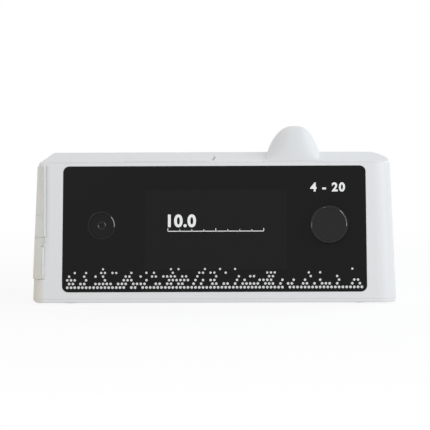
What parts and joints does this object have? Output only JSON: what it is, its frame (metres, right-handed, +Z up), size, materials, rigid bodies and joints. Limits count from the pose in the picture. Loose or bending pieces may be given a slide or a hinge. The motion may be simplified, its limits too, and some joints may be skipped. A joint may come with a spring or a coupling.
{
  "type": "cpap machine",
  "caption": "Bedside breathing machine with a leaning black control front, push-turn knob, power button, slide-out water tank and a rear hose outlet under a hood.",
  "frame": {"origin": "floor level under the middle of the machine's overall box, hose outlet included", "axes": "+Z up, front panel towards -Y, +X to the right of someone facing the panel"},
  "size_m": [0.2414, 0.171, 0.113],
  "materials": {
    "white_abs": "fine satin moulding",
    "frost_cap": "frosted, slightly yellowed grey",
    "fascia_black": "gloss black with printed dots",
    "lens_black": "smoked gloss window",
    "display_black": "display glass in a metal tray",
    "foam_black": "closed cell foam",
    "carrier_black": "matt moulding",
    "board_green": "green solder mask",
    "button_black": "gloss black",
    "ring_black": "gloss black ring",
    "switch_black": "matt",
    "encoder_metal": "pressed steel",
    "nut_metal": "plated",
    "shaft_metal": "turned",
    "knob_black": "gloss black rim",
    "knob_matte": "soft matt face",
    "ribbon_white": "flat cable",
    "screw_steel": "zinc plated",
    "foot_rubber": "matt rubber",
    "bay_grey": "light grey moulding",
    "seal_silicone": "translucent silicone",
    "heater_metal": "anodised",
    "film_amber": "polyimide film",
    "heater_foam": "silicone sponge",
    "frame_black": "glass filled moulding",
    "tub_clear": "clear polycarbonate",
    "plate_steel": "stainless",
    "release_grey": "satin grey",
    "shoe_rubber": "soft rubber",
    "blower_grey": "dark grey moulding",
    "motor_metal": "die cast",
    "bearing_steel": "ground",
    "stator_copper": "copper windings",
    "magnet_dark": "coated magnet",
    "impeller_white": "moulded",
    "duct_grey": "light grey moulding",
    "muffler_grey": "grey moulding",
    "muffler_foam": "open cell foam",
    "filter_white": "filter fibre",
    "flap_white": "fine satin moulding",
    "jack_black": "matt",
    "slot_metal": "pressed steel",
    "sensor_grey": "matt",
    "tube_clear": "silicone tube"
  },
  "bodies": {
    "chassis": {"housing": "white_abs", "outlet_hood": "white_abs", "base_tray": "white_abs", "fascia_panel": "fascia_black", "display_lens": "lens_black", "display_module": "display_black", "display_gasket": "foam_black", "front_carrier": "carrier_black", "control_board": "board_green", "main_board": "board_green", "button_ring": "ring_black", "power_switch": "switch_black", "encoder_body": "encoder_metal", "encoder_nut": "nut_metal", "ribbon_cables": "ribbon_white", "case_screws": "screw_steel", "small_screws": "screw_steel", "rubber_feet": "foot_rubber", "tank_bay": "bay_grey", "inlet_seal": "seal_silicone", "outlet_seal": "seal_silicone", "blower_hose": "seal_silicone", "heater_plate": "heater_metal", "heater_film": "film_amber", "heater_insulation": "heater_foam", "heater_frame": "frame_black", "blower_grommets": "shoe_rubber", "volute_lower": "blower_grey", "volute_upper": "blower_grey", "motor_case": "motor_metal", "motor_bearings": "bearing_steel", "stator": "stator_copper", "outlet_duct": "duct_grey", "outlet_port": "duct_grey", "muffler_box": "muffler_grey", "muffler_foam": "muffler_foam", "inlet_filter": "filter_white", "dc_jack": "jack_black", "sd_slot": "slot_metal", "flow_sensor": "sensor_grey", "sensor_tube": "tube_clear"},
    "button": {"power_button": "button_black"},
    "encoder_push": {"encoder_plunger": "shaft_metal"},
    "knob": {"encoder_shaft": "shaft_metal", "knob": "knob_black", "knob_cap": "knob_matte"},
    "fan": {"impeller": "impeller_white", "motor_shaft": "shaft_metal", "rotor_magnet": "magnet_dark"},
    "tank": {"tank_face": "frost_cap", "tank_grip": "frost_cap", "tank_tub": "tub_clear", "tank_plate": "plate_steel", "tank_seal": "seal_silicone", "tank_lid": "tub_clear"},
    "release": {"release_button": "release_grey"},
    "shoe": {"brake_shoe": "shoe_rubber"},
    "filter_cover": {"filter_cover": "flap_white"},
    "sd_door": {"sd_door": "flap_white"}
  },
  "joints": [
    {"name": "power_press", "type": "slide", "parent": "chassis", "child": "button", "axis": [0, 0.9903, -0.1392], "range_m": [0, 0.0008], "stiffness_N_per_m": 1500, "springref_m": -0.001},
    {"name": "knob_press", "type": "slide", "parent": "chassis", "child": "encoder_push", "axis": [0, 0.9903, -0.1392], "range_m": [0, 0.0005], "stiffness_N_per_m": 3000, "springref_m": -0.0008},
    {"name": "knob_turn", "type": "hinge", "parent": "encoder_push", "child": "knob", "pos_m": [0.0761, -0.07786, 0.0523], "axis": [0, -0.9903, 0.1392], "continuous": true},
    {"name": "fan_spin", "type": "hinge", "parent": "chassis", "child": "fan", "pos_m": [0.064, -0.002, 0.06], "axis": [0, 0, 1], "continuous": true},
    {"name": "tank_slide", "type": "slide", "parent": "chassis", "child": "tank", "axis": [-1, 0, 0], "range_m": [0, 0.11]},
    {"name": "release_press", "type": "slide", "parent": "tank", "child": "release", "axis": [1, 0, 0], "range_m": [0, 0.0012], "stiffness_N_per_m": 1200, "springref_m": -0.001},
    {"name": "shoe_lift", "type": "slide", "parent": "tank", "child": "shoe", "axis": [0, 0, 1], "range_m": [0, 0.0012]},
    {"name": "filter_flap", "type": "hinge", "parent": "chassis", "child": "filter_cover", "pos_m": [0.0705, 0.064, 0.05365], "axis": [1, 0, 0], "range_deg": [0, 95]},
    {"name": "sd_flap", "type": "hinge", "parent": "chassis", "child": "sd_door", "pos_m": [0.028, 0.064, 0.01685], "axis": [1, 0, 0], "range_deg": [0, 95]}
  ],
  "couplings": [
    {"joint": "shoe_lift", "follows": "release_press", "ratio": 1}
  ]
}
